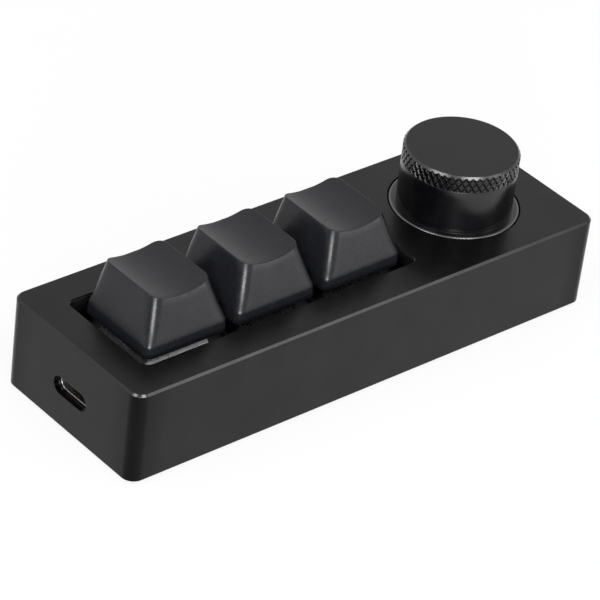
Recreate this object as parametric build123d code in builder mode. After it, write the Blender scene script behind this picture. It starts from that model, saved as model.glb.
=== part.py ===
from build123d import *
import math
import os

os.makedirs("parts", exist_ok=True)

# Lengths are in millimetres. X runs along the block towards the knob, Y to the back, Z up.
# The origin is on the table, under the middle of the block.

# Housing
body_width = 36.3
left_border = 6.8  # from the left end to the keys' opening
middle_border = 6.38  # from the opening to the knob's well
right_border = 7.18  # from the well to the right end
corner_radius = 2.4
edge_chamfer = 0.4
wall = 2.5
roof = 3.0
overrun = 1.0  # how far a cut runs past the face it opens

# Bottom cover and feet
cover_thickness = 1.6
cover_rim = 1.2  # housing wall left around the cover
cover_gap = 0.1
foot_stand = 0.8
foot_radius = 3.5
foot_inset_x = 13.0
foot_inset_y = 8.0
boss_width = 4.6
boss_inset = 1.5  # from the inner walls to the middle of a corner boss

# Heights from the cover up to the top face
under_board_room = 3.2
board_thickness = 1.6
plate_over_board = 5.0  # from the board's top to the plate's top
plate_thickness = 1.5
switch_height = 11.6  # switch housing above the board
top_over_switch = 0.2

# Keys
key_count = 3
key_gap = 2.0  # between neighbouring keycaps
key_travel = 4.0
cap_base = 18.1
cap_gap = 2.15  # between the outer keycaps and the opening's edge
opening_corner = 1.6
opening_chamfer = 0.15
cap_drop = 1.3  # keycap's lower edge below the top face
cap_height = 10.7
skirt_height = 2.4
skirt_draft = 0.35  # how far each side leans in over the skirt
cap_top_width = 11.9
cap_top_depth = 14.1
cap_top_shift = 0.95  # top face set towards the back
cap_base_corner = 1.0
cap_side_corner = 1.6  # rounding of the leaning edges
cap_wall = 1.4
cap_roof = 1.5
dish_depth = 1.1
cap_post_radius = 2.75
cap_post_gap = 0.1

# Key switches
switch_width = 13.9
plate_hole_gap = 0.05
collar_width = 15.6
collar_height = 1.0
switch_floor = 1.2
slider_width = 7.0
slider_depth = 5.9
slider_proud = 0.4  # slider above the switch cover at rest
slide_gap = 0.1
cross_span = 4.0
cross_arm = 1.2
cross_height = 3.2
cross_gap = 0.04
pole_radius = 1.4
pole_end_gap = 0.1  # left under the pole when the key is down
centre_post_radius = 1.95
centre_post_length = 2.9
centre_post_gap = 0.05
spring_radius = 1.95
spring_wire = 0.2
spring_turns = 5
spring_bends = 8  # straight stretches in each turn
spring_pressed = 2.0  # spring's length when the key is down
spring_gap = 0.02
cover_base_width = 14.6
cover_top_width = 10.6
cover_skin = 1.0
lens_width = 4.4
lens_step = 0.35
lens_height_share = 0.7
pin_width = 1.0
pin_thickness = 0.4
pin_length = 3.0
pin_gap = 0.3
pin_grid = 1.27
pin_places = [(-3 * pin_grid, 2 * pin_grid), (2 * pin_grid, 4 * pin_grid)]
lamp_width = 3.2
lamp_depth = 1.9
lamp_height = 1.4
lamp_y = -5.15
lamp_slot_gap = 0.3

# Switch plate and board
plate_overlap = 1.8  # plate past the ends of the opening
ledge_width = 2.6  # ledges under the roof that the plate sits against
board_gap = 0.25
board_end_gap = 3.0
notch_gap = 0.25
chip_size = 6.0
chip_height = 0.9
chip_from_knob = 13.5
crystal_length = 3.2
crystal_width = 2.5
crystal_height = 0.8
crystal_y = 7.0
capacitor_length = 1.6
capacitor_width = 0.8
capacitor_pitch = 2.2
capacitor_count = 4
capacitor_y = -6.5

# Socket in the left end
usb_width = 8.94
usb_height = 3.26
usb_length = 7.35
usb_skin = 0.3
usb_setback = 1.4  # socket's mouth behind the end face
usb_slot_gap = 0.15
tongue_width = 6.7
tongue_thickness = 0.7
tongue_setback = 0.6
usb_back = 2.2
usb_fit = 0.02

# Knob
knob_radius = 10.9
knob_rise = 12.25  # knob's top above the top face
flange_width = 1.2  # flange past the barrel
flange_thickness = 1.2
flange_proud = 0.1
flange_chamfer = 0.35
ring_gap = 0.42  # between the flange and the well's edge
well_depth = 2.0
well_wall = 2.0
knurl_height = 3.25
knurl_count = 52
knurl_angle = 33.0
knurl_depth_share = 1.16  # groove depth over the least that leaves sharp diamonds
knurl_rim_rise = 0.45  # height of the turned chamfer above the knurl
knurl_rim_spare = 0.03
knurl_band = 1.2  # depth of the ring that carries the knurl
knob_top_thickness = 2.2
knob_hollow_gap = 0.93  # around the corners of the nut
knob_hollow_room = 0.4
knob_fit = 0.02

# Rotary encoder under the knob
encoder_width = 12.0
encoder_depth = 12.4
encoder_base_height = 3.0
frame_roof = 1.1
bushing_wall = 0.5
bushing_length = 7.0
bushing_gap = 0.1
shaft_radius = 3.0
shaft_gap = 0.05
shaft_flat = 1.5  # from the shaft's axis to its flat
flat_length = 7.0
tang_width = 4.0
push_travel = 0.5
rotor_radius = 5.0
rotor_thickness = 1.9
rotor_gap = 0.25
button_radius = 2.0
button_rise = 0.8
button_floor = 1.1
button_gap = 0.06
nut_across_flats = 10.0
nut_height = 2.0
nut_gap = 0.02
terminal_width = 0.8
terminal_thickness = 0.4
terminal_pitch = 2.5
terminal_length = 3.0
terminal_inset = 0.8
terminal_gap = 0.3

# Heights worked out from the stack
cover_bottom = foot_stand
cover_top = cover_bottom + cover_thickness
board_bottom = cover_top + under_board_room
board_top = board_bottom + board_thickness
plate_top = board_top + plate_over_board
plate_bottom = plate_top - plate_thickness
switch_top = board_top + switch_height
collar_top = plate_top + collar_height
body_top = switch_top + top_over_switch
roof_bottom = body_top - roof
encoder_base_top = board_top + encoder_base_height
rotor_room = rotor_thickness + 2 * rotor_gap
encoder_top = encoder_base_top + rotor_room + frame_roof
well_floor = body_top - well_depth
cap_bottom = body_top - cap_drop
slider_top = switch_top + slider_proud
switch_floor_top = board_top + switch_floor
slider_bottom = switch_floor_top + spring_pressed + key_travel
pole_bottom = switch_floor_top + key_travel + pole_end_gap
knob_top = body_top + knob_rise
knob_bottom = body_top + flange_proud - flange_thickness

# Places along the block and across it
key_pitch = cap_base + key_gap
opening_length = (key_count - 1) * key_pitch + cap_base + 2 * cap_gap
opening_width = cap_base + 2 * cap_gap
flange_radius = knob_radius + flange_width
well_radius = flange_radius + ring_gap
body_length = left_border + opening_length + middle_border + 2 * well_radius + right_border
left_end = -body_length / 2
inner_length = body_length - 2 * wall
inner_width = body_width - 2 * wall
first_key = left_end + left_border + cap_gap + cap_base / 2
key_places = [first_key + key_pitch * step for step in range(key_count)]
row_middle = sum(key_places) / key_count
knob_x = body_length / 2 - right_border - well_radius
bushing_radius = shaft_radius + bushing_wall
knob_hollow_radius = nut_across_flats / math.sqrt(3) + knob_hollow_gap
boss_x = inner_length / 2 - boss_inset
boss_y = inner_width / 2 - boss_inset
plate_length = opening_length + 2 * plate_overlap
usb_mouth = left_end + usb_setback
usb_middle = board_top + usb_height / 2


def level(x, y, z):
    return Plane(origin=(x, y, z))


def facing_right(x, z):
    return Plane(origin=(x, 0, z), x_dir=(0, 1, 0), z_dir=(1, 0, 0))


def half_section(x):
    return Plane(origin=(x, 0, 0), x_dir=(1, 0, 0), z_dir=(0, -1, 0))


boss_points = [(x, y) for x in (-boss_x, boss_x) for y in (-boss_y, boss_y)]
foot_points = [
    (x, y)
    for x in (left_end + foot_inset_x, -left_end - foot_inset_x)
    for y in (foot_inset_y - body_width / 2, body_width / 2 - foot_inset_y)
]

# Top housing: a hollow block, open below, with corner bosses and ledges for the plate
with BuildPart() as top_housing:
    with BuildSketch(level(0, 0, cover_bottom)):
        RectangleRounded(body_length, body_width, corner_radius)
    extrude(amount=body_top - cover_bottom)
    chamfer(top_housing.faces().sort_by(Axis.Z)[-1].edges(), edge_chamfer)
    with BuildSketch(level(0, 0, cover_bottom)):
        RectangleRounded(inner_length, inner_width, corner_radius)
    extrude(amount=roof_bottom - cover_bottom, mode=Mode.SUBTRACT)
    with BuildSketch(level(0, 0, cover_bottom)):
        RectangleRounded(
            body_length - 2 * cover_rim, body_width - 2 * cover_rim, corner_radius - cover_rim / 2
        )
    extrude(amount=cover_thickness, mode=Mode.SUBTRACT)
    with BuildSketch(level(0, 0, cover_top)):
        with Locations(boss_points):
            Rectangle(boss_width, boss_width)
    extrude(amount=roof_bottom - cover_top)
    with BuildSketch(level(row_middle, 0, plate_top)):
        with GridLocations(0, inner_width - ledge_width, 1, 2):
            Rectangle(plate_length, ledge_width)
    extrude(amount=roof_bottom - plate_top)
    with BuildSketch(level(knob_x, 0, encoder_top)):
        Rectangle(2 * (well_radius + well_wall), 2 * (well_radius + well_wall))
    extrude(amount=roof_bottom - encoder_top)
    with BuildSketch(level(row_middle, 0, body_top)):
        RectangleRounded(opening_length, opening_width, opening_corner)
    extrude(amount=-roof - overrun, mode=Mode.SUBTRACT)
    with BuildSketch(level(row_middle, 0, body_top)):
        RectangleRounded(
            opening_length + 2 * opening_chamfer,
            opening_width + 2 * opening_chamfer,
            opening_corner + opening_chamfer,
        )
    extrude(amount=-opening_chamfer, taper=45, mode=Mode.SUBTRACT)
    with BuildSketch(level(knob_x, 0, well_floor)):
        Circle(well_radius)
    extrude(amount=well_depth + overrun, mode=Mode.SUBTRACT)
    with BuildSketch(level(knob_x, 0, encoder_top)):
        Circle(bushing_radius + bushing_gap)
    extrude(amount=well_floor - encoder_top, mode=Mode.SUBTRACT)
    with BuildSketch(facing_right(left_end - overrun, usb_middle)):
        SlotOverall(usb_width + 2 * usb_slot_gap, usb_height + 2 * usb_slot_gap)
    extrude(amount=wall + 2 * overrun, mode=Mode.SUBTRACT)
top_housing.part.label = "top_housing"
export_step(top_housing.part, "parts/top_housing.step")

# Bottom cover: a plate let into the underside
with BuildPart() as bottom_cover:
    with BuildSketch(level(0, 0, cover_bottom)):
        RectangleRounded(
            body_length - 2 * cover_rim - 2 * cover_gap,
            body_width - 2 * cover_rim - 2 * cover_gap,
            corner_radius - cover_rim / 2,
        )
    extrude(amount=cover_thickness)
bottom_cover.part.label = "bottom_cover"
export_step(bottom_cover.part, "parts/bottom_cover.step")

# Rubber feet: four round pads stuck to the cover
with BuildPart() as rubber_feet:
    with BuildSketch(level(0, 0, 0)):
        with Locations(foot_points):
            Circle(foot_radius)
    extrude(amount=foot_stand)
rubber_feet.part.label = "rubber_feet"
export_step(rubber_feet.part, "parts/rubber_feet.step")

# Switch plate: a sheet with one square hole for each switch
notch = boss_width + 2 * notch_gap
plate_hole = switch_width + 2 * plate_hole_gap
with BuildPart() as switch_plate:
    with BuildSketch(level(0, 0, plate_bottom)):
        with Locations((row_middle, 0)):
            Rectangle(plate_length, inner_width - 2 * board_gap)
        with Locations(*[(x, 0) for x in key_places]):
            Rectangle(plate_hole, plate_hole, mode=Mode.SUBTRACT)
        with Locations(boss_points):
            Rectangle(notch, notch, mode=Mode.SUBTRACT)
    extrude(amount=plate_thickness)
switch_plate.part.label = "switch_plate"
export_step(switch_plate.part, "parts/switch_plate.step")

# Circuit board: notched round the bosses, with holes for posts and pins
board_left = left_end + wall + board_gap
board_right = inner_length / 2 - board_end_gap
terminal_y = encoder_depth / 2 - terminal_inset
terminal_points = [(knob_x + step * terminal_pitch, -terminal_y) for step in (-1, 0, 1)]
terminal_points += [(knob_x + step * terminal_pitch, terminal_y) for step in (-1, 1)]
pin_points = [(x + dx, dy) for x in key_places for dx, dy in pin_places]
with BuildPart() as main_board:
    with BuildSketch(level(0, 0, board_bottom)):
        with Locations(((board_left + board_right) / 2, 0)):
            Rectangle(board_right - board_left, inner_width - 2 * board_gap)
        with Locations(boss_points):
            Rectangle(notch, notch, mode=Mode.SUBTRACT)
        with Locations(*[(x, 0) for x in key_places]):
            Circle(centre_post_radius + centre_post_gap, mode=Mode.SUBTRACT)
        with Locations(pin_points):
            Rectangle(pin_width + 2 * pin_gap, pin_thickness + 2 * pin_gap, mode=Mode.SUBTRACT)
        with Locations(terminal_points):
            Rectangle(
                terminal_width + 2 * terminal_gap, terminal_thickness + 2 * terminal_gap, mode=Mode.SUBTRACT
            )
    extrude(amount=board_thickness)
main_board.part.label = "main_board"
export_step(main_board.part, "parts/main_board.step")

# Socket shell: a seamless oval tube, closed at the back
with BuildPart() as usb_shell:
    with BuildSketch(facing_right(usb_mouth, usb_middle)):
        SlotOverall(usb_width, usb_height)
    extrude(amount=usb_length)
    with BuildSketch(facing_right(usb_mouth, usb_middle)):
        SlotOverall(usb_width - 2 * usb_skin, usb_height - 2 * usb_skin)
    extrude(amount=usb_length - usb_skin, mode=Mode.SUBTRACT)
usb_shell.part.label = "usb_shell"
export_step(usb_shell.part, "parts/usb_shell.step")

# Socket tongue: the blade in the middle and the block behind it
with BuildPart() as usb_tongue:
    with BuildSketch(facing_right(usb_mouth + usb_length - usb_skin - usb_back, usb_middle)):
        SlotOverall(usb_width - 2 * (usb_skin + usb_fit), usb_height - 2 * (usb_skin + usb_fit))
    extrude(amount=usb_back)
    with BuildSketch(facing_right(usb_mouth + tongue_setback, usb_middle)):
        Rectangle(tongue_width, tongue_thickness)
    extrude(amount=usb_length - usb_skin - usb_back - tongue_setback)
usb_tongue.part.label = "usb_tongue"
export_step(usb_tongue.part, "parts/usb_tongue.step")

# Controller chip, crystal and capacitors on the board
chip_x = knob_x - chip_from_knob
with BuildPart() as controller_chip:
    with BuildSketch(level(chip_x, 0, board_top)):
        Rectangle(chip_size, chip_size)
    extrude(amount=chip_height)
controller_chip.part.label = "controller_chip"
export_step(controller_chip.part, "parts/controller_chip.step")

with BuildPart() as board_crystal:
    with BuildSketch(level(chip_x, crystal_y, board_top)):
        Rectangle(crystal_length, crystal_width)
    extrude(amount=crystal_height)
board_crystal.part.label = "board_crystal"
export_step(board_crystal.part, "parts/board_crystal.step")

with BuildPart() as capacitors:
    with BuildSketch(level(chip_x, capacitor_y, board_top)):
        with GridLocations(capacitor_pitch, 0, capacitor_count, 1):
            Rectangle(capacitor_width, capacitor_length)
    extrude(amount=capacitor_width)
capacitors.part.label = "capacitors"
export_step(capacitors.part, "parts/capacitors.step")

# Lamps under the switches
with BuildPart() as key_lamps:
    with BuildSketch(level(0, lamp_y, board_top)):
        with Locations(*[(x, 0) for x in key_places]):
            Rectangle(lamp_width, lamp_depth)
    extrude(amount=lamp_height)
key_lamps.part.label = "key_lamps"
export_step(key_lamps.part, "parts/key_lamps.step")

# Half sizes of a keycap at its shoulder, and the lean of its sides above that
shoulder = cap_base / 2 - skirt_draft
lean_height = cap_height - skirt_height
side_lean = (shoulder - cap_top_width / 2) / lean_height
front_lean = (shoulder - cap_top_depth / 2 + cap_top_shift) / lean_height
back_lean = (cap_base / 2 - cap_top_depth / 2 - cap_top_shift) / cap_height


def leaning_block(height, inset):
    side = shoulder + skirt_height * side_lean - inset
    front = shoulder + skirt_height * front_lean - inset
    back = cap_base / 2 - inset
    with BuildPart() as block:
        with BuildSketch(Plane.XZ):
            with BuildLine():
                Polyline(
                    (-side, 0),
                    (height * side_lean - side, height),
                    (side - height * side_lean, height),
                    (side, 0),
                    close=True,
                )
            make_face()
        extrude(amount=cap_base, both=True)
        with BuildSketch(Plane.YZ):
            with BuildLine():
                Polyline(
                    (-front, 0),
                    (height * front_lean - front, height),
                    (back - height * back_lean, height),
                    (back, 0),
                    close=True,
                )
            make_face()
        extrude(amount=cap_base, both=True, mode=Mode.INTERSECT)
    return block.part


# Form of one keycap: upright skirt, sides that lean in, dished top, and a hollow with the cross socket
with BuildPart() as leaning_sides:
    add(leaning_block(cap_height, 0))
    side_edges = leaning_sides.edges().filter_by(lambda edge: edge.bounding_box().size.Z > skirt_height)
    fillet(side_edges, cap_side_corner)

dish_radius = cap_top_width**2 / (8 * dish_depth) + dish_depth / 2
ceiling = cap_height - dish_depth - cap_roof
post_bottom = slider_top + cap_post_gap - cap_bottom
with BuildPart() as cap_form:
    with BuildSketch(Plane.XY):
        RectangleRounded(cap_base, cap_base, cap_base_corner)
    extrude(amount=cap_height)
    with BuildSketch(Plane.XZ):
        with BuildLine():
            Polyline(
                (-cap_base / 2, 0),
                (-shoulder, skirt_height),
                (-cap_base / 2, cap_height),
                (cap_base / 2, cap_height),
                (shoulder, skirt_height),
                (cap_base / 2, 0),
                close=True,
            )
        make_face()
    extrude(amount=cap_base, both=True, mode=Mode.INTERSECT)
    with BuildSketch(Plane.YZ):
        with BuildLine():
            Polyline(
                (-cap_base / 2, 0),
                (-shoulder, skirt_height),
                (-cap_base / 2, cap_height),
                (cap_base / 2, cap_height),
                (cap_base / 2, 0),
                close=True,
            )
        make_face()
    extrude(amount=cap_base, both=True, mode=Mode.INTERSECT)
    add(leaning_sides.part, mode=Mode.INTERSECT)
    with Locations(Plane(origin=(0, 0, cap_height - dish_depth + dish_radius), z_dir=(0, 1, 0))):
        Cylinder(dish_radius, 2 * cap_base, mode=Mode.SUBTRACT)
    add(leaning_block(ceiling, cap_wall), mode=Mode.SUBTRACT)
    with BuildSketch(level(0, 0, post_bottom)):
        Circle(cap_post_radius)
    extrude(amount=ceiling + cap_roof / 2 - post_bottom)
    with BuildSketch(level(0, 0, post_bottom)):
        Rectangle(cross_span + 2 * cross_gap, cross_arm + 2 * cross_gap)
        Rectangle(cross_arm + 2 * cross_gap, cross_span + 2 * cross_gap)
    extrude(amount=cross_height, mode=Mode.SUBTRACT)

# Form of one return spring: a wire wound in short straight stretches
spring_foot = switch_floor_top + spring_wire + spring_gap
spring_length = slider_bottom - spring_wire - spring_gap - spring_foot
spring_steps = spring_turns * spring_bends


def spring_point(step):
    angle = 2 * math.pi * step / spring_bends
    rise = spring_length * step / spring_steps
    return spring_radius * math.cos(angle), spring_radius * math.sin(angle), spring_foot + rise


with BuildPart() as spring_form:
    with BuildLine() as coil:
        Polyline(*[spring_point(step) for step in range(spring_steps + 1)])
    with BuildSketch(Plane(origin=coil.line @ 0, z_dir=coil.line % 0)):
        RegularPolygon(spring_wire, 4)
    sweep(path=coil.line, transition=Transition.RIGHT)

cover_rise = switch_top - collar_top
cover_lean = (cover_base_width - cover_top_width) / 2
cover_angle = math.degrees(math.atan(cover_lean / cover_rise))
lens_top = collar_top + cover_rise * lens_height_share
lens_front = -cover_base_width / 2 - lens_step
lens_lean = cover_lean * lens_height_share

for number, key_x in enumerate(key_places, start=1):
    # Switch base: the square body below the plate, its collar, and the post that locates it on the board
    with BuildPart() as switch_base:
        with BuildSketch(level(key_x, 0, board_top)):
            Rectangle(switch_width, switch_width)
        extrude(amount=plate_over_board)
        with BuildSketch(level(key_x, 0, plate_top)):
            Rectangle(collar_width, collar_width)
        extrude(amount=collar_height)
        with BuildSketch(level(key_x, 0, board_top)):
            Circle(centre_post_radius)
        extrude(amount=-centre_post_length)
        with BuildSketch(level(key_x, 0, switch_floor_top)):
            Rectangle(slider_width + 2 * slide_gap, slider_depth + 2 * slide_gap)
        extrude(amount=collar_top - switch_floor_top, mode=Mode.SUBTRACT)
        with BuildSketch(level(key_x, lamp_y, board_top)):
            Rectangle(lamp_width + 2 * lamp_slot_gap, lamp_depth + 2 * lamp_slot_gap)
        extrude(amount=collar_top - board_top, mode=Mode.SUBTRACT)
    switch_base.part.label = f"switch_base_{number}"
    export_step(switch_base.part, f"parts/switch_base_{number}.step")

    # Switch cover: the clear tapered upper half, with a lens panel at the front
    with BuildPart() as switch_cover:
        with BuildSketch(level(key_x, 0, collar_top)):
            Rectangle(cover_base_width, cover_base_width)
        extrude(amount=cover_rise, taper=cover_angle)
        with BuildSketch(Plane(origin=(key_x, 0, 0), x_dir=(0, 1, 0), z_dir=(1, 0, 0))):
            with BuildLine():
                Polyline(
                    (lens_front, collar_top),
                    (lens_front + lens_lean, lens_top),
                    (lens_front + lens_lean + cover_skin, lens_top),
                    (lens_front + cover_skin, collar_top),
                    close=True,
                )
            make_face()
        extrude(amount=lens_width / 2, both=True)
        with BuildSketch(level(key_x, 0, collar_top)):
            Rectangle(cover_base_width - 2 * cover_skin, cover_base_width - 2 * cover_skin)
        extrude(amount=cover_rise - cover_skin, taper=cover_angle, mode=Mode.SUBTRACT)
        with BuildSketch(level(key_x, 0, switch_top)):
            Rectangle(slider_width + 2 * slide_gap, slider_depth + 2 * slide_gap)
        extrude(amount=-cover_skin - overrun, mode=Mode.SUBTRACT)
    switch_cover.part.label = f"switch_cover_{number}"
    export_step(switch_cover.part, f"parts/switch_cover_{number}.step")

    # Switch pins: two flat legs through the board
    with BuildPart() as switch_pins:
        with BuildSketch(level(key_x, 0, board_top)):
            with Locations(*pin_places):
                Rectangle(pin_width, pin_thickness)
        extrude(amount=-pin_length)
    switch_pins.part.label = f"switch_pins_{number}"
    export_step(switch_pins.part, f"parts/switch_pins_{number}.step")

    # Return spring between the switch's floor and the slider
    with BuildPart() as switch_spring:
        with Locations((key_x, 0, 0)):
            add(spring_form.part)
    switch_spring.part.label = f"switch_spring_{number}"
    export_step(switch_spring.part, f"parts/switch_spring_{number}.step")

    # Stem: the slider, the cross that carries the keycap, and the pole inside the spring
    with BuildPart() as switch_stem:
        with BuildSketch(level(key_x, 0, slider_bottom)):
            Rectangle(slider_width, slider_depth)
        extrude(amount=slider_top - slider_bottom)
        with BuildSketch(level(key_x, 0, pole_bottom)):
            Circle(pole_radius)
        extrude(amount=slider_bottom - pole_bottom)
        with BuildSketch(level(key_x, 0, slider_top)):
            Rectangle(cross_span, cross_arm)
            Rectangle(cross_arm, cross_span)
        extrude(amount=cross_height)
    switch_stem.part.label = f"switch_stem_{number}"
    export_step(switch_stem.part, f"parts/switch_stem_{number}.step")

    # Keycap on the stem's cross
    with BuildPart() as keycap:
        with Locations((key_x, 0, cap_bottom)):
            add(cap_form.part)
    keycap.part.label = f"keycap_{number}"
    export_step(keycap.part, f"parts/keycap_{number}.step")

# Encoder base: the moulded wafer on the board, with a pit for the push button
button_seat = board_top + button_floor
pit_width = math.sqrt(2) * tang_width + 2 * shaft_gap
with BuildPart() as encoder_base:
    with BuildSketch(level(knob_x, 0, board_top)):
        Rectangle(encoder_width, encoder_depth)
    extrude(amount=encoder_base_height)
    with BuildSketch(level(knob_x, 0, button_seat)):
        Rectangle(pit_width, pit_width)
    extrude(amount=encoder_base_top - button_seat, mode=Mode.SUBTRACT)
encoder_base.part.label = "encoder_base"
export_step(encoder_base.part, "parts/encoder_base.step")

# Encoder frame: the metal upper half and its threaded bushing
rotor_bottom = encoder_base_top + rotor_gap
rotor_room_width = 2 * (rotor_radius + rotor_gap)
with BuildPart() as encoder_frame:
    with BuildSketch(level(knob_x, 0, encoder_base_top)):
        Rectangle(encoder_width, encoder_depth)
    extrude(amount=encoder_top - encoder_base_top)
    with BuildSketch(level(knob_x, 0, encoder_top)):
        Circle(bushing_radius)
    extrude(amount=bushing_length)
    with BuildSketch(level(knob_x, 0, encoder_base_top)):
        Rectangle(rotor_room_width, rotor_room_width)
    extrude(amount=rotor_room, mode=Mode.SUBTRACT)
    with BuildSketch(level(knob_x, 0, encoder_base_top)):
        Circle(shaft_radius + shaft_gap)
    extrude(amount=encoder_top + bushing_length - encoder_base_top, mode=Mode.SUBTRACT)
encoder_frame.part.label = "encoder_frame"
export_step(encoder_frame.part, "parts/encoder_frame.step")

# Encoder terminals: legs through the board
with BuildPart() as encoder_terminals:
    with BuildSketch(level(0, 0, board_top)):
        with Locations(terminal_points):
            Rectangle(terminal_width, terminal_thickness)
    extrude(amount=-terminal_length)
encoder_terminals.part.label = "encoder_terminals"
export_step(encoder_terminals.part, "parts/encoder_terminals.step")

# Push button: the plunger under the shaft
with BuildPart() as push_button:
    with BuildSketch(level(knob_x, 0, button_seat)):
        Circle(button_radius)
    extrude(amount=button_rise)
push_button.part.label = "push_button"
export_step(push_button.part, "parts/push_button.step")

# Nut that clamps the bushing to the well's floor
with BuildPart() as encoder_nut:
    with BuildSketch(level(knob_x, 0, well_floor)):
        RegularPolygon(nut_across_flats / 2, 6, major_radius=False)
        Circle(bushing_radius + nut_gap, mode=Mode.SUBTRACT)
    extrude(amount=nut_height)
encoder_nut.part.label = "encoder_nut"
export_step(encoder_nut.part, "parts/encoder_nut.step")

# Rotor: the disc that the shaft's tang turns
with BuildPart() as encoder_rotor:
    with BuildSketch(level(knob_x, 0, rotor_bottom)):
        Circle(rotor_radius)
        Rectangle(tang_width + 2 * shaft_gap, tang_width + 2 * shaft_gap, mode=Mode.SUBTRACT)
    extrude(amount=rotor_thickness)
encoder_rotor.part.label = "encoder_rotor"
export_step(encoder_rotor.part, "parts/encoder_rotor.step")

# Shaft: square tang below, round in the bushing, flat on one side in the knob
shaft_foot = button_seat + button_rise + push_travel + button_gap
shaft_shoulder = encoder_top - shaft_gap
shaft_top = knob_top - knob_top_thickness - shaft_gap
with BuildPart() as encoder_shaft:
    with BuildSketch(level(knob_x, 0, shaft_foot)):
        Rectangle(tang_width, tang_width)
    extrude(amount=shaft_shoulder - shaft_foot)
    with BuildSketch(level(knob_x, 0, shaft_shoulder)):
        Circle(shaft_radius)
    extrude(amount=shaft_top - shaft_shoulder)
    with BuildSketch(level(knob_x, 0, shaft_top - flat_length)):
        with Locations((0, shaft_flat)):
            Rectangle(2 * shaft_radius, shaft_radius, align=(Align.CENTER, Align.MIN))
    extrude(amount=flat_length, mode=Mode.SUBTRACT)
encoder_shaft.part.label = "encoder_shaft"
export_step(encoder_shaft.part, "parts/encoder_shaft.step")

# Knurled band: a ring cut by V grooves that lean both ways and leave sharp diamonds
band_bottom = knob_top - knurl_height
band_middle = knob_top - knurl_height / 2
knurl_lean = math.radians(knurl_angle)
knurl_pitch = 2 * math.pi * knob_radius / knurl_count
knurl_depth = knurl_pitch * math.cos(knurl_lean) / 2 * knurl_depth_share
rim_radius = knob_radius - knurl_depth - knurl_rim_spare
groove_side = 2 * knurl_depth
groove_length = 2 * knurl_height / math.cos(knurl_lean)
groove_axis = knob_radius - knurl_depth + groove_side / math.sqrt(2)
with BuildPart() as knurled_band:
    with BuildSketch(half_section(knob_x)):
        with BuildLine():
            Polyline(
                (knob_radius - knurl_band, band_bottom),
                (knob_radius, band_bottom),
                (knob_radius, knob_top - knurl_rim_rise),
                (rim_radius, knob_top),
                (knob_radius - knurl_band, knob_top),
                close=True,
            )
        make_face()
    revolve(axis=Axis((knob_x, 0, 0), (0, 0, 1)))
    for lean in (knurl_angle, -knurl_angle):
        with Locations(level(knob_x, 0, band_middle)):
            with PolarLocations(groove_axis, knurl_count):
                Box(groove_side, groove_side, groove_length, rotation=(lean, 0, 45), mode=Mode.SUBTRACT)

# Knob: turned barrel with a wide flange, hollow below for the nut, bored for the shaft
hollow_top = encoder_top + bushing_length + push_travel + knob_hollow_room
flange_top = knob_bottom + flange_thickness
bore_radius = shaft_radius + knob_fit
with BuildPart() as knob:
    with BuildSketch(half_section(knob_x)):
        with BuildLine():
            Polyline(
                (0, knob_top),
                (knob_radius - knurl_band, knob_top),
                (knob_radius - knurl_band, band_bottom),
                (knob_radius, band_bottom),
                (knob_radius, flange_top),
                (flange_radius - flange_chamfer, flange_top),
                (flange_radius, flange_top - flange_chamfer),
                (flange_radius, knob_bottom),
                (knob_hollow_radius, knob_bottom),
                (knob_hollow_radius, hollow_top),
                (0, hollow_top),
                close=True,
            )
        make_face()
    revolve(axis=Axis((knob_x, 0, 0), (0, 0, 1)))
    add(knurled_band.part)
    with BuildSketch(level(knob_x, 0, hollow_top)):
        Circle(bore_radius)
        with Locations((0, shaft_flat + knob_fit)):
            Rectangle(2 * bore_radius, bore_radius, align=(Align.CENTER, Align.MIN), mode=Mode.SUBTRACT)
    extrude(amount=knob_top - knob_top_thickness - hollow_top, mode=Mode.SUBTRACT)
    with BuildSketch(level(knob_x, 0, hollow_top)):
        Circle(bore_radius)
    extrude(amount=shaft_top - flat_length - hollow_top, mode=Mode.SUBTRACT)
knob.part.label = "knob"
export_step(knob.part, "parts/knob.step")
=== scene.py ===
import math

import bmesh
import bpy
from mathutils import Matrix, Vector


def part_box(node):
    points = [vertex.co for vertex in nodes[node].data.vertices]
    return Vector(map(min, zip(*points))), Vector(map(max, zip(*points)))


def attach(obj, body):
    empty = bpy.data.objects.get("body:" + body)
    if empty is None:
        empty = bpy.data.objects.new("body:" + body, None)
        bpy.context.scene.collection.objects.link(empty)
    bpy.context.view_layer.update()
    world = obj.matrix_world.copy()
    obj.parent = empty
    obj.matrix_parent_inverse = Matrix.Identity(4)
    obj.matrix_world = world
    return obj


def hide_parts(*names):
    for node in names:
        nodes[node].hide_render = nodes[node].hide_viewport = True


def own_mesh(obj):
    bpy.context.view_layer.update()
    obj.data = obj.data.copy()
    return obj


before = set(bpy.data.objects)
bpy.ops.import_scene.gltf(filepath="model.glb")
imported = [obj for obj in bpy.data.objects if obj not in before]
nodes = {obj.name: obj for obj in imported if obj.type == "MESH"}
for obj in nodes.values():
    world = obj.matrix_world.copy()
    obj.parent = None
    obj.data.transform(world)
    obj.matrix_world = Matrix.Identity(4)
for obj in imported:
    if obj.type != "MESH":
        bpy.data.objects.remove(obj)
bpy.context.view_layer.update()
scene = bpy.context.scene
scene.view_settings.view_transform = "Standard"
mm = 0.001
weldDistance = 1e-7  # metres
keyNumbers = (1, 2, 3)
print("frame loaded:", len(nodes), "nodes")


# mesh helpers: points are in millimetres, in the same frame as the solids

def inMetres(lengths):
    return [length * mm for length in lengths]


def addPiece(name, mesh, creaseAngle):
    mesh.shade_smooth()
    mesh.set_sharp_from_angle(angle=math.radians(creaseAngle))
    piece = bpy.data.objects.new(name, mesh)
    scene.collection.objects.link(piece)
    return piece


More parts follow.
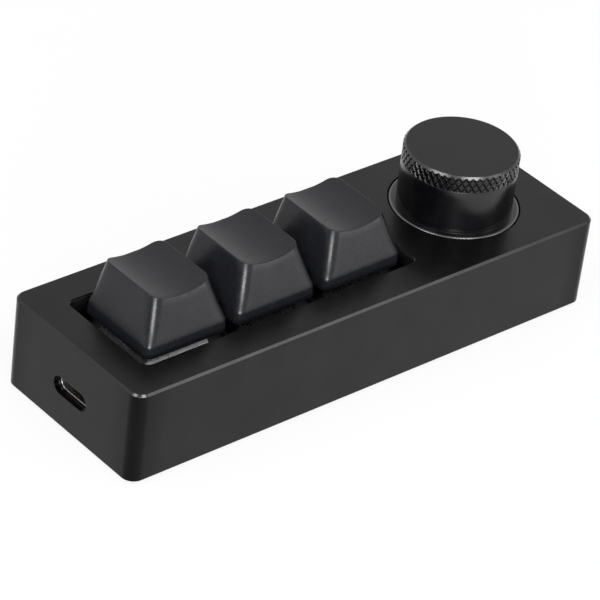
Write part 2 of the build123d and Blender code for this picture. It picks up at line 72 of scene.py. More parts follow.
def meshPiece(name, points, faces, creaseAngle):
    mesh = bpy.data.meshes.new(name)
    mesh.from_pydata([Vector(point) * mm for point in points], [], faces)
    work = bmesh.new()
    work.from_mesh(mesh)
    bmesh.ops.remove_doubles(work, verts=work.verts, dist=weldDistance)
    bmesh.ops.recalc_face_normals(work, faces=work.faces)
    work.to_mesh(mesh)
    work.free()
    return addPiece(name, mesh, creaseAngle)


def stitchRings(points, faces, rings):  # joins each ring to the next, and says where each starts
    starts = []
    for ring in rings:
        starts.append(len(points))
        points.extend(ring)
    count = len(rings[0])
    for lower, upper in zip(starts, starts[1:]):
        for k in range(count):
            n = (k + 1) % count
            faces.append((lower + k, lower + n, upper + n, upper + k))
    return starts


def capRing(points, faces, start, count, centre):  # closes a ring with a fan
    middle = len(points)
    points.append(centre)
    faces.extend((start + k, start + (k + 1) % count, middle) for k in range(count))


def fullTurn(steps):
    return [2 * math.pi * k / steps for k in range(steps)]


def latheRings(profile, steps, centreX, centreY=0.0):
    turn = fullTurn(steps)
    return [
        [(centreX + r * math.cos(a), centreY + r * math.sin(a), z) for a in turn]
        for r, z in profile
    ]


def roundedCorner(start, corner, end, steps):  # points of a soft bend between two straight runs
    return [
        tuple(
            (1 - t) ** 2 * a + 2 * t * (1 - t) * b + t * t * c
            for a, b, c in zip(start, corner, end)
        )
        for t in (k / steps for k in range(steps + 1))
    ]


def dress(piece, body, material):
    piece.data.materials.append(material)
    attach(piece, body)
    return piece


# material helpers

class Finish:  # one material and the nodes that shape it
    bevelSamples = 8

    def __init__(self, name, **sockets):
        self.material = bpy.data.materials.new(name)
        self.material.use_nodes = True
        self.tree = self.material.node_tree
        self.shader = self.tree.nodes["Principled BSDF"]
        self.place = self.add("ShaderNodeTexCoord").outputs["Object"]
        for socket, value in sockets.items():
            self.shader.inputs[socket].default_value = value

    def add(self, kind, **settings):
        node = self.tree.nodes.new(kind)
        for key, value in settings.items():
            setattr(node, key, value)
        return node

    def link(self, start, end):
        self.tree.links.new(start, end)

    def noise(self, size, detail=3.0, place=None):  # size of the spots in millimetres
        node = self.add("ShaderNodeTexNoise")
        node.inputs["Scale"].default_value = 1 / (size * mm)
        node.inputs["Detail"].default_value = detail
        self.link(place or self.place, node.inputs["Vector"])
        return node.outputs["Fac"]

    def stretched(self, x, y, z):  # coordinates pulled out along some axes
        node = self.add("ShaderNodeMapping")
        node.inputs["Scale"].default_value = (x, y, z)
        self.link(self.place, node.inputs["Vector"])
        return node.outputs["Vector"]

    def axes(self):  # the place along X, Y and Z
        node = self.add("ShaderNodeSeparateXYZ")
        self.link(self.place, node.inputs["Vector"])
        return node.outputs

    def maths(self, operation, *values):  # each value is a number or the output of a node
        node = self.add("ShaderNodeMath", operation=operation)
        for socket, value in zip(node.inputs, values):
            if isinstance(value, (int, float)):
                socket.default_value = value
            else:
                self.link(value, socket)
        return node.outputs[0]

    def between(self, share, low, high, lowAt=0.35, highAt=0.65):
        node = self.add("ShaderNodeMapRange")
        self.link(share, node.inputs["Value"])
        limits = {"From Min": lowAt, "From Max": highAt, "To Min": low, "To Max": high}
        for socket, value in limits.items():
            node.inputs[socket].default_value = value
        return node.outputs["Result"]

    def tint(self, share, low, high, lowAt=0.3, highAt=0.7):
        node = self.add("ShaderNodeValToRGB")
        self.link(share, node.inputs["Fac"])
        stops = ((lowAt, low), (highAt, high))
        for element, (position, shade) in zip(node.color_ramp.elements, stops):
            element.position = position
            element.color = (*shade, 1)
        return node.outputs["Color"]

    def colour(self, output):
        self.link(output, self.shader.inputs["Base Color"])

    def roughness(self, output):
        self.link(output, self.shader.inputs["Roughness"])

    def bump(self, height, depth, edge):  # depth and the radius of soft edges in millimetres
        soft = self.add("ShaderNodeBevel", samples=self.bevelSamples)
        soft.inputs["Radius"].default_value = edge * mm
        node = self.add("ShaderNodeBump")
        node.inputs["Distance"].default_value = depth * mm
        self.link(height, node.inputs["Height"])
        self.link(soft.outputs["Normal"], node.inputs["Normal"])
        self.link(node.outputs["Normal"], self.shader.inputs["Normal"])


# plastics, paint and rubber

plasticGrain = {"tintSize": 6.0, "roughSize": 1.5, "roughSpread": 0.04, "detail": 2.0, "edge": 0.1}
plasticLooks = {
    "keycapPlastic": {
        "dark": (0.0072, 0.0075, 0.0096), "light": (0.0096, 0.0099, 0.0122),
        "rough": 0.26, "grainSize": 0.3, "grainDepth": 0.008, "Specular IOR Level": 0.32,
    },
    "coverPaint": {
        "dark": (0.012, 0.012, 0.012), "light": (0.018, 0.018, 0.018),
        "rough": 0.5, "grainSize": 0.3, "grainDepth": 0.02,
    },
    "footRubber": {
        "dark": (0.010, 0.010, 0.010), "light": (0.020, 0.020, 0.020),
        "rough": 0.75, "grainSize": 0.15, "grainDepth": 0.02,
    },
    "plateCoat": {
        "dark": (0.016, 0.016, 0.016), "light": (0.024, 0.024, 0.024),
        "rough": 0.5, "grainSize": 0.2, "grainDepth": 0.01,
    },
    "socketPlastic": {
        "dark": (0.012, 0.012, 0.012), "light": (0.02, 0.02, 0.02),
        "rough": 0.45, "grainSize": 0.1, "grainDepth": 0.006,
    },
    "chipResin": {
        "dark": (0.012, 0.012, 0.013), "light": (0.022, 0.022, 0.023),
        "rough": 0.55, "grainSize": 0.06, "grainDepth": 0.008,
    },
    "switchNylon": {
        "dark": (0.011, 0.011, 0.012), "light": (0.018, 0.018, 0.019),
        "rough": 0.48, "grainSize": 0.15, "grainDepth": 0.008,
    },
    "stemPlastic": {
        "dark": (0.30, 0.02, 0.018), "light": (0.38, 0.03, 0.025),
        "rough": 0.4, "grainSize": 0.15, "grainDepth": 0.006,
    },
    "encoderPlastic": {
        "dark": (0.02, 0.05, 0.03), "light": (0.03, 0.07, 0.04),
        "rough": 0.5, "grainSize": 0.15, "grainDepth": 0.008,
    },
}


def mouldedPlastic(name, dark, light, rough, grainSize, grainDepth, **sockets):
    s = plasticGrain
    spread = s["roughSpread"]
    look = Finish(name, **sockets)
    look.colour(look.tint(look.noise(s["tintSize"]), dark, light))
    look.roughness(look.between(look.noise(s["roughSize"]), rough - spread, rough + spread))
    look.bump(look.noise(grainSize, s["detail"]), grainDepth, s["edge"])
    return look.material


# bare and plated metals

metalGrain = {"tintSize": 3.0, "grainSize": 0.25, "roughSpread": 0.06, "grainDepth": 0.006}
metalLooks = {
    "knobRim": {
        "dark": (0.125, 0.125, 0.13), "light": (0.145, 0.145, 0.15), "rough": 0.26, "edge": 0.05,
    },
    "socketSteel": {
        "dark": (0.55, 0.54, 0.52), "light": (0.66, 0.65, 0.63), "rough": 0.28,
        "lines": (0.1, 1, 1), "edge": 0.2,
    },
    "crystalCan": {"dark": (0.60, 0.60, 0.58), "light": (0.72, 0.72, 0.70), "rough": 0.3},
    "pinTin": {"dark": (0.62, 0.60, 0.55), "light": (0.75, 0.73, 0.68), "rough": 0.32},
    "springSteel": {"dark": (0.55, 0.55, 0.54), "light": (0.68, 0.68, 0.66), "rough": 0.25},
    "encoderMetal": {
        "dark": (0.50, 0.49, 0.46), "light": (0.62, 0.61, 0.58), "rough": 0.35,
        "lines": (1, 1, 0.1),
    },
    "screwSteel": {"dark": (0.02, 0.02, 0.02), "light": (0.035, 0.035, 0.035), "rough": 0.35},
    # gold darkened as painted shade, for the contacts deep inside the socket
    "shadedContactGold": {"dark": (0.30, 0.21, 0.09), "light": (0.38, 0.28, 0.13), "rough": 0.34},
}


def satinMetal(name, dark, light, rough, lines=(1, 1, 1), edge=0.08):
    s = metalGrain
    spread = s["roughSpread"]
    look = Finish(name, Metallic=1.0)
    grain = look.noise(s["grainSize"], place=look.stretched(*lines))
    look.colour(look.tint(look.noise(s["tintSize"]), dark, light))
    look.roughness(look.between(grain, rough - spread, rough + spread))
    look.bump(grain, s["grainDepth"], edge)
    return look.material


# black anodised aluminium, bead blasted

blastGrain = {"tintSize": 9.0, "roughSize": 2.5, "detail": 2.0}
knobLook = {
    "dark": (0.0012, 0.0013, 0.0018),
    "light": (0.0017, 0.0018, 0.0023),
    "roughLow": 0.20,
    "roughHigh": 0.25,
    "grainSize": 0.16,
    "grainDepth": 0.002,
    "edgeRound": 0.05,
    "gloss": 0.55,
}
knobTopLook = {
    "dark": (0.0026, 0.0026, 0.0027),
    "light": (0.0038, 0.0038, 0.0039),
    "roughLow": 0.30,
    "roughHigh": 0.36,
    "grainSize": 0.22,
    "grainDepth": 0.003,
    "edgeRound": 0.05,
    "gloss": 0.26,
}
blastedLooks = {
    "knobBlack": knobLook,
    "knobTopBlack": knobTopLook,
    "knobEdgeBlack": {**knobLook, "gloss": 0.95, "grainDepth": 0.001},
    "knurlBlack": {**knobLook, "roughLow": 0.22, "roughHigh": 0.28, "gloss": 0.50},
}
housingLook = {
    "face": 0.031,
    # painted shade: darker ends, and a painted dark reflection at the upright corners
    "end": 0.0225,
    "endShadeReach": (0.05, 2.4),  # reaches, depths and fades are in millimetres
    "cornerShadeShare": 0.45,
    "cornerShadeReach": (0.7, 7.0),
    "cut": 0.060,
    "cutEdge": 0.42,
    "cutFade": 0.03,
    "cutRough": 0.17,
    "topFade": (0.03, 0.01),
    "wallInset": (2.0, 3.0),
    "wallDepth": (0.25, 0.15),
    "wallShare": 0.38,
    "roughLow": 0.27,
    "roughHigh": 0.32,
    "mottle": 0.06,
    "grainSize": 0.22,
    "grainDepth": 0.003,
    "edgeRound": 0.08,
}


def blastGrained(look, s):  # lays the grain and gives the roughness
    look.bump(look.noise(s["grainSize"], blastGrain["detail"]), s["grainDepth"], s["edgeRound"])
    return look.between(look.noise(blastGrain["roughSize"]), s["roughLow"], s["roughHigh"])


def blastedAnodised(name, s):
    look = Finish(name)
    look.shader.inputs["Specular IOR Level"].default_value = s["gloss"]
    look.colour(look.tint(look.noise(blastGrain["tintSize"]), s["dark"], s["light"]))
    look.roughness(blastGrained(look, s))
    return look.material


def anodisedShell(name, s):  # a dark metal, with a smooth cut edge round its top, painted shade at its ends and a painted dark reflection at its upright corners
    look = Finish(name)
    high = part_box("top_housing")[1]
    place = look.axes()

    def fromEnd(axis, end):
        return look.maths("SUBTRACT", end, look.maths("ABSOLUTE", place[axis]))

    def belowTop(depths):
        return [high.z - depth * mm for depth in depths]

    alongX, alongY = fromEnd("X", high.x), fromEnd("Y", high.y)
    away = look.maths("MAXIMUM", alongX, alongY)
    corner = look.between(away, s["cornerShadeShare"], 1, *inMetres(s["cornerShadeReach"]))
    wall = look.between(alongX, s["end"], s["face"], *inMetres(s["endShadeReach"]))
    side = look.maths("MULTIPLY", corner, wall)  # painted shade at the ends and a painted dark reflection at the upright corners
    foot = high.z - s["cutEdge"] * mm
    above = look.between(place["Z"], 0, 1, foot, foot + s["cutFade"] * mm)
    cut = look.maths("MULTIPLY", above, look.between(place["Z"], 1, 0, *belowTop(s["topFade"])))
    flat = look.maths("MAXIMUM", side, look.maths("MULTIPLY", above, s["face"]))
    shade = look.maths("MAXIMUM", flat, look.maths("MULTIPLY", cut, s["cut"]))
    inward = look.between(look.maths("MINIMUM", alongX, alongY), 0, 1, *inMetres(s["wallInset"]))
    deep = look.between(place["Z"], 1, 0, *belowTop(s["wallDepth"]))
    dull = look.maths("MULTIPLY", inward, deep)  # the walls of the key and knob openings
    look.link(look.maths("SUBTRACT", 1.0, dull), look.shader.inputs["Metallic"])
    shade = look.maths("MULTIPLY", shade, look.between(dull, 1, s["wallShare"], 0, 1))
    mottle = look.noise(blastGrain["tintSize"])
    mottled = look.between(mottle, 1 - s["mottle"], 1 + s["mottle"])
    look.colour(look.maths("MULTIPLY", shade, mottled))
    smoother = look.maths("MULTIPLY", cut, s["roughLow"] - s["cutRough"])
    look.roughness(look.maths("SUBTRACT", blastGrained(look, s), smoother))
    return look.material


# the board and its small parts

boardLook = {
    "trackSize": 4.0,
    "trackWidth": 0.03,
    "trackBlur": 0.3,
    "trackHeight": 0.03,
    "track": (0.022, 0.075, 0.036),
    "dark": (0.008, 0.030, 0.016),
    "light": (0.010, 0.036, 0.019),
    "rough": (0.28, 0.42),
    "roughSize": 1.2,
    "edge": 0.1,
}
capacitorLook = {
    "ceramic": (0.32, 0.20, 0.11),
    "tin": (0.62, 0.60, 0.57),
    "tinFrom": (0.42, 0.46),
    "tintAt": (0.4, 0.6),
    "rough": (0.35, 0.5),
    "roughSize": 0.4,
    "grainSize": 0.12,
    "grainDepth": 0.01,
    "edge": 0.08,
}
keyLampLook = {
    "white": (0.75, 0.75, 0.72),
    "yellow": (0.72, 0.58, 0.18),
    "windowSize": 1.1,
    "windowDetail": 1.0,
    "windowAt": (0.45, 0.55),
    "rough": (0.3, 0.45),
    "roughSize": 0.5,
    "grainSize": 0.2,
    "grainDepth": 0.01,
    "edge": 0.08,
}


def boardMask(name, s):  # solder mask over copper tracks
    look = Finish(name)
    tracks = look.add("ShaderNodeTexBrick")
    tracks.inputs["Scale"].default_value = 1 / (s["trackSize"] * mm)
    tracks.inputs["Mortar Size"].default_value = s["trackWidth"]
    tracks.inputs["Mortar Smooth"].default_value = s["trackBlur"]
    tracks.inputs["Mortar"].default_value = (*s["track"], 1)
    tracks.inputs["Color1"].default_value = (*s["dark"], 1)
    tracks.inputs["Color2"].default_value = (*s["light"], 1)
    look.link(look.place, tracks.inputs["Vector"])
    look.colour(tracks.outputs["Color"])
    look.roughness(look.between(look.noise(s["roughSize"]), *s["rough"]))
    look.bump(tracks.outputs["Fac"], s["trackHeight"], s["edge"])
    return look.material


def capacitorBody(name, s):  # tan ceramic between tinned ends
    look = Finish(name)
    low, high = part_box("capacitors")
    middle = (low.y + high.y) / 2
    away = look.maths("ABSOLUTE", look.maths("SUBTRACT", look.axes()["Y"], middle))
    ends = look.between(away, 0, 1, *inMetres(s["tinFrom"]))
    look.colour(look.tint(ends, s["ceramic"], s["tin"], *s["tintAt"]))
    look.link(ends, look.shader.inputs["Metallic"])
    look.roughness(look.between(look.noise(s["roughSize"]), *s["rough"]))
    look.bump(look.noise(s["grainSize"]), s["grainDepth"], s["edge"])
    return look.material


def lampBody(name, s):  # white package with a yellow window
    look = Finish(name)
    window = look.between(look.noise(s["windowSize"], s["windowDetail"]), 0, 1, *s["windowAt"])
    look.colour(look.tint(window, s["white"], s["yellow"]))
    look.roughness(look.between(look.noise(s["roughSize"]), *s["rough"]))
    look.bump(look.noise(s["grainSize"]), s["grainDepth"], s["edge"])
    return look.material


# milky clear plastic of the switches' upper halves

clearLook = {
    "frostAndShadeX": (-27, -25),  # millimetres, where the frosted front ends and, along X, where the painted shade of the other switches begins
    "frostY": (-6.5, -6),
    "clarity": (0.05, 0.9),  # frosted, then clear
    "switchShadeShare": (0.98, 0.30),  # painted shade: the first switch, then the darker others
    "milk": (0.90, 1.0),
    "milkSize": 3.0,
    "rough": (0.26, 0.34),
    "roughSize": 1.0,
    "grainSize": 0.6,
    "grainDepth": 0.01,
    "edge": 0.1,
    "refraction": 1.55,
}


def clearSwitch(name, s):
    look = Finish(name, IOR=s["refraction"])
    place = look.axes()
    right = look.between(place["X"], 0, 1, *inMetres(s["frostAndShadeX"]))
    behind = look.between(place["Y"], 0, 1, *inMetres(s["frostY"]))
    clear = look.maths("MAXIMUM", right, behind)  # the first one is frosted at its front
    clarity = look.between(clear, *s["clarity"], 0, 1)
    look.link(clarity, look.shader.inputs["Transmission Weight"])
    milk = look.between(look.noise(s["milkSize"]), *s["milk"])
    paintedSwitchShade = look.between(right, *s["switchShadeShare"], 0, 1)  # painted shade: the others are darkened in front
    look.colour(look.maths("MULTIPLY", milk, paintedSwitchShade))
    look.roughness(look.between(look.noise(s["roughSize"]), *s["rough"]))
    look.bump(look.noise(s["grainSize"]), s["grainDepth"], s["edge"])
    return look.material


singleFinishes = {
    "housingBlack": (anodisedShell, housingLook),
    "boardMask": (boardMask, boardLook),
    "capacitorBody": (capacitorBody, capacitorLook),
    "lampBody": (lampBody, keyLampLook),
    "clearSwitch": (clearSwitch, clearLook),
}
finishes = {name: make(name, look) for name, (make, look) in singleFinishes.items()}
finishes.update({name: mouldedPlastic(name, **look) for name, look in plasticLooks.items()})
finishes.update({name: satinMetal(name, **look) for name, look in metalLooks.items()})
finishes.update({name: blastedAnodised(name, look) for name, look in blastedLooks.items()})

nodeFinishes = {
    "top_housing": "housingBlack",
    "bottom_cover": "coverPaint",
    "rubber_feet": "footRubber",
    "switch_plate": "plateCoat",
    "main_board": "boardMask",
    "usb_shell": "socketSteel",
    "usb_tongue": "socketPlastic",
    "controller_chip": "chipResin",
    "board_crystal": "crystalCan",
    "capacitors": "capacitorBody",
    "key_lamps": "lampBody",
    "switch_base": "switchNylon",
    "switch_cover": "clearSwitch",
    "switch_pins": "pinTin",
    "switch_spring": "springSteel",
    "switch_stem": "stemPlastic",
    "keycap": "keycapPlastic",
    "encoder_base": "encoderPlastic",
    "encoder_frame": "encoderMetal",
    "encoder_terminals": "pinTin",
    "push_button": "socketPlastic",
    "encoder_nut": "encoderMetal",
    "encoder_rotor": "socketPlastic",
    "encoder_shaft": "encoderMetal",
    "knob": "knobBlack",
}

for nodeName, nodeObject in nodes.items():
    family = nodeName.rstrip("0123456789").rstrip("_")
    nodeObject.data.materials.clear()
    nodeObject.data.materials.append(finishes[nodeFinishes[family]])
print("finishes on", len(nodes), "nodes")


# keycaps: upright skirt, soft shoulder, leaning sides, dished top, hollow below

keycapShape = {
    "skirtTop": 2.4,
    "skirtDraft": 0.08,
    "shoulderSoftness": 0.12,
    "topWidth": 12.7,
    "topDepth": 14.4,
    "topShift": 1.0,
    "baseCorner": 1.5,
    "sideCorner": 2.0,
    "leastCorner": 0.2,
    "edgeRound": 0.14,
    "footRound": 0.15,
    "dishDepth": 1.1,
    "wall": 1.4,
    "roof": 1.5,
    "cornerSteps": 6,
    "sideSteps": 12,
    "edgeSteps": 5,
    "meetTries": 5,
    "skirtLevels": (0.35, 0.7, 0.85, 0.95, 1.0, 1.05, 1.15, 1.35),
    "sideLevels": (0.2, 0.4, 0.6, 0.8),
    "dishLevels": (0.9, 0.78, 0.64, 0.5, 0.36, 0.22, 0.1),
    "hollowLevel": 0.6,
    "crease": 40,
}
postShape = {
    "radius": 2.75,
    "bottom": 1.6,
    "intoRoof": 0.5,
    "crossSpan": 4.08,
    "crossArm": 1.28,
    "crossDepth": 3.2,
    "steps": 48,
    "crease": 30,
}


def roundedRing(halfWidth, front, back, corner):  # the same count of points at any size
    steps = keycapShape["cornerSteps"]
    sideSteps = keycapShape["sideSteps"]
    middles = [
        (corner - halfWidth, front + corner, 180),
        (halfWidth - corner, front + corner, 270),
        (halfWidth - corner, back - corner, 0),
        (corner - halfWidth, back - corner, 90),
    ]
    arcs = []
    for x, y, start in middles:
        angles = [math.radians(start + 90 * k / steps) for k in range(steps + 1)]
        arcs.append([(x + corner * math.cos(a), y + corner * math.sin(a)) for a in angles])
    ring = []
    for arc, following in zip(arcs, arcs[1:] + arcs[:1]):
        ring.extend(arc)
        a, b = arc[-1], following[0]
        for k in range(1, sideSteps):
            t = k / sideSteps
            ring.append((a[0] + (b[0] - a[0]) * t, a[1] + (b[1] - a[1]) * t))
    return ring


def softMin(a, b, soft):  # the smaller of two, eased where they meet
    h = max(soft - abs(a - b), 0) / soft
    return min(a, b) - h * h * soft / 4


def keycapMesh(name, node):
    s = keycapShape
    low, high = (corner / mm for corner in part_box(node))
    centreX = (low.x + high.x) / 2
    base = (high.x - low.x) / 2
    bottom, height = low.z, high.z - low.z
    skirt = s["skirtTop"]
    shoulder = base - s["skirtDraft"]
    lean = height - skirt
    sideLean = (shoulder - s["topWidth"] / 2) / lean
    frontLean = (shoulder - s["topDepth"] / 2 + s["topShift"]) / lean
    backLean = (base - s["topDepth"] / 2 - s["topShift"]) / height
    dishRadius = s["topWidth"] ** 2 / (8 * s["dishDepth"]) + s["dishDepth"] / 2

    def ringAt(z, inset=0.0):
        upright = base - z * s["skirtDraft"] / skirt
        side = softMin(upright, shoulder - (z - skirt) * sideLean, s["shoulderSoftness"])
        front = softMin(upright, shoulder - (z - skirt) * frontLean, s["shoulderSoftness"])
        back = base - z * backLean
        ease = min(max((z - skirt) / skirt, 0), 1)
        corner = s["baseCorner"] + (s["sideCorner"] - s["baseCorner"]) * ease
        corner = max(corner - inset, s["leastCorner"])
        return roundedRing(side - inset, inset - front, back - inset, corner)

    def dishAt(x):
        return height - s["dishDepth"] + dishRadius - math.sqrt(dishRadius**2 - x * x)

    def lifted(ring, z):
        return [(x, y, z) for x, y in ring]

    count = len(ringAt(0))
    edge = []
    for k in range(count):  # where each side line meets the dish
        z = height
        for _ in range(s["meetTries"]):
            x, y = ringAt(z)[k]
            z = dishAt(x)
        edge.append((x, y, z))

    foot, r = s["footRound"], s["edgeRound"]
    rings = [lifted(ringAt(0, foot), 0), lifted(ringAt(foot), foot)]
    rings += [lifted(ringAt(skirt * share), skirt * share) for share in s["skirtLevels"]]
    startZ = skirt * s["skirtLevels"][-1]
    for share in s["sideLevels"]:
        heights = [startZ + (e[2] - r - startZ) * share for e in edge]
        rings.append([(*ringAt(z)[k], z) for k, z in enumerate(heights)])
    under = [(*ringAt(e[2] - r)[k], e[2] - r) for k, e in enumerate(edge)]
    inner = []
    for k, e in enumerate(edge):
        x, y = ringAt(e[2], r)[k]
        inner.append((x, y, dishAt(x)))
    bends = [roundedCorner(*run, s["edgeSteps"]) for run in zip(under, edge, inner)]
    rings += [list(ring) for ring in zip(*bends)]
    middleY = s["topShift"]
    for share in s["dishLevels"]:
        rings.append([
            (x * share, middleY + (y - middleY) * share, dishAt(x * share)) for x, y, _ in inner
        ])

    points, faces = [], []
    starts = stitchRings(points, faces, rings)
    capRing(points, faces, starts[-1], count, (0, middleY, dishAt(0)))

    ceiling = height - s["dishDepth"] - s["roof"]
    levels = (0, skirt * s["hollowLevel"], skirt, ceiling * s["hollowLevel"], ceiling)
    inside = stitchRings(points, faces, [lifted(ringAt(z, s["wall"]), z) for z in levels])
    capRing(points, faces, inside[-1], count, (0, middleY, ceiling))
    for k in range(count):  # the rim under the skirt
        n = (k + 1) % count
        faces.append((starts[0] + k, inside[0] + k, inside[0] + n, starts[0] + n))

    placed = [(x + centreX, y, z + bottom) for x, y, z in points]
    return meshPiece(name, placed, faces, s["crease"]), centreX, bottom, ceiling


def keycapPost(name, centreX, bottom, ceiling):  # round post with the cross socket
    s = postShape
    span, arm = s["crossSpan"] / 2, s["crossArm"] / 2
    cross = [
        (span, -arm), (span, arm), (arm, arm), (arm, span), (-arm, span), (-arm, arm),
        (-span, arm), (-span, -arm), (-arm, -arm), (-arm, -span), (arm, -span), (arm, -arm),
    ]
    circle = [(s["radius"] * math.cos(a), s["radius"] * math.sin(a)) for a in fullTurn(s["steps"])]
    work = bmesh.new()

    def loop(outline, z):
        return [work.verts.new(Vector((x + centreX, y, z + bottom)) * mm) for x, y in outline]

    def wall(lower, upper):
        for k in range(len(lower)):
            n = (k + 1) % len(lower)
            work.faces.new((lower[k], lower[n], upper[n], upper[k]))

    def closedEdges(verts):
        return [work.edges.new((verts[k], verts[(k + 1) % len(verts)])) for k in range(len(verts))]

    outerLow = loop(circle, s["bottom"])
    crossLow = loop(cross, s["bottom"])
    rim = closedEdges(outerLow) + closedEdges(crossLow)
    bmesh.ops.triangle_fill(work, use_beauty=True, edges=rim)
    outerHigh = loop(circle, ceiling + s["intoRoof"])
    crossHigh = loop(cross, s["bottom"] + s["crossDepth"])
    wall(outerLow, outerHigh)
    wall(crossLow, crossHigh)
    work.faces.new(outerHigh)
    work.faces.new(crossHigh)
    bmesh.ops.recalc_face_normals(work, faces=work.faces)
    mesh = bpy.data.meshes.new(name)
    work.to_mesh(mesh)
    work.free()
    return addPiece(name, mesh, s["crease"])


for number in keyNumbers:
    cap, capX, capBottom, capCeiling = keycapMesh(f"keycapShell_{number}", f"keycap_{number}")
    dress(cap, f"key_{number}", finishes["keycapPlastic"])
    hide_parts(f"keycap_{number}")
    post = keycapPost(f"keycapPost_{number}", capX, capBottom, capCeiling)
    dress(post, f"key_{number}", finishes["keycapPlastic"])
print("keycaps built")


# knob: turned body with a wide flange, and the knurled band round its top

knobShape = {
    "radius": 10.9,
    "flangeRadius": 12.26,
    "flangeThickness": 1.2,
    "flangeEdge": 0.42,
    "flangeSteps": 4,
    "lowEdge": 0.1,
    "bandHeight": 3.25,
    "bandDepth": 1.2,
    "ledgeRound": 0.06,
    "ledgeSteps": 3,
    "barrelRows": 6,
    "rimRise": 0.45,
    "rimWidth": 0.45,
    "rimRows": 5,
    "knurlCount": 52,
    "knurlAngle": 33.0,
    "grooveDepth": 0.26,
    "grooveHalf": 0.184,
    "columnsPerGroove": 12,
    "hollowRadius": 6.7,
    "hollowTop": 21.6,
    "boreRadius": 3.02,
    "boreTop": 29.05,
    "topLevels": (0.1, 0.3, 0.5, 0.7, 0.85),
    "latheSteps": 160,
    "bodyCrease": 35,
    "knurlCrease": 20,
    "flatUp": 0.9,
    "chamferUp": (0.6, 0.85),
    "flatSlack": 0.01,
}


def knobCentre():
    low, high = (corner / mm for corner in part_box("knob"))
    return (low.x + high.x) / 2, low.z, high.z


def knobBody():
    s = knobShape
    centreX, bottom, top = knobCentre()
    radius, wide = s["radius"], s["flangeRadius"]
    hollow, bore = s["hollowRadius"], s["boreRadius"]
    soft, ledge, low = s["flangeEdge"], s["ledgeRound"], s["lowEdge"]
    inner = radius - s["bandDepth"]
    bandBottom = top - s["bandHeight"]
    flangeTop = bottom + s["flangeThickness"]
    barrel, rows = bandBottom - flangeTop, s["barrelRows"]
    ledgeRun = (radius - ledge, bandBottom), (radius, bandBottom), (radius, bandBottom - ledge)
    flangeRun = (wide - soft, flangeTop), (wide, flangeTop), (wide, flangeTop - soft)
    profile = [(inner * share, top) for share in s["topLevels"]]
    profile += [(inner, top), (inner, bandBottom)]
    profile += roundedCorner(*ledgeRun, s["ledgeSteps"])
    profile += [(radius, bandBottom - barrel * k / rows) for k in range(1, rows)]
    profile += [(radius, flangeTop)]
    profile += roundedCorner(*flangeRun, s["flangeSteps"])
    profile += [(wide, bottom + low), (wide - low, bottom), (hollow + low, bottom)]
    profile += [(hollow, bottom + low), (hollow, s["hollowTop"])]
    profile += [(bore, s["hollowTop"]), (bore, s["boreTop"])]
    points, faces = [], []
    steps = s["latheSteps"]
    starts = stitchRings(points, faces, latheRings(profile, steps, centreX))
    capRing(points, faces, starts[0], steps, (centreX, 0, top))
    capRing(points, faces, starts[-1], steps, (centreX, 0, s["boreTop"]))
    return meshPiece("knobBody", points, faces, s["bodyCrease"])


def knurlBand():  # crossing V grooves, cut at the top by a turned chamfer
    s = knobShape
    centreX, _, top = knobCentre()
    radius, count = s["radius"], s["knurlCount"]
    slope = math.tan(math.radians(s["knurlAngle"]))
    across = math.cos(math.radians(s["knurlAngle"]))
    pitch = 2 * math.pi * radius / count
    rim = radius - s["rimWidth"]
    bandBottom = top - s["bandHeight"]
    chamferFoot = top - s["rimRise"]
    columns = count * s["columnsPerGroove"]
    stepX = pitch / s["columnsPerGroove"]
    stepZ = stepX / slope
    levels = []
    z = bandBottom
    while z < chamferFoot - stepZ / 3:  # leaves no sliver under the chamfer
        levels.append(z)
        z += stepZ
    rows = s["rimRows"]
    levels += [chamferFoot + s["rimRise"] * k / rows for k in range(rows + 1)]

    def radiusAt(x, z):  # x runs round the knob
        cut = 0.0
        for lean in (slope, -slope):
            away = (x + lean * (z - bandBottom)) / pitch
            away = abs(away - round(away)) * pitch * across
            cut = max(cut, s["grooveDepth"] * (1 - away / s["grooveHalf"]))
        limit = radius - max(z - chamferFoot, 0) * (radius - rim) / s["rimRise"]
        return min(radius - cut, limit)

    def place(k, z, r):
        a = 2 * math.pi * k / columns
        return (centreX + r * math.cos(a), r * math.sin(a), z)

    points, faces = [], []
    for z in levels:
        points.extend(place(k, z, radiusAt(k * stepX, z)) for k in range(columns))
    for i, (lower, upper) in enumerate(zip(levels, levels[1:])):
        for k in range(columns):
            n = (k + 1) % columns
            a, b = i * columns + k, i * columns + n
            d, c = a + columns, b + columns
            wanted = radiusAt((k + 0.5) * stepX, (lower + upper) / 2)
            rising = (radiusAt(k * stepX, lower) + radiusAt((k + 1) * stepX, upper)) / 2
            falling = (radiusAt((k + 1) * stepX, lower) + radiusAt(k * stepX, upper)) / 2
            if abs(rising - wanted) < abs(falling - wanted):  # the diagonal along the groove
                faces.extend([(a, b, c), (a, c, d)])
            else:
                faces.extend([(a, b, d), (b, c, d)])
    last = (len(levels) - 1) * columns
    inner = radius - s["bandDepth"]
    extra = len(points)
    points.extend(place(k, top, inner) for k in range(columns))
    points.extend(place(k, bandBottom, inner) for k in range(columns))
    for k in range(columns):
        n = (k + 1) % columns
        faces.append((last + k, last + n, extra + n, extra + k))
        faces.append((extra + k, extra + n, extra + columns + n, extra + columns + k))
        faces.append((extra + columns + k, extra + columns + n, n, k))
    return meshPiece("knurlBand", points, faces, s["knurlCrease"])


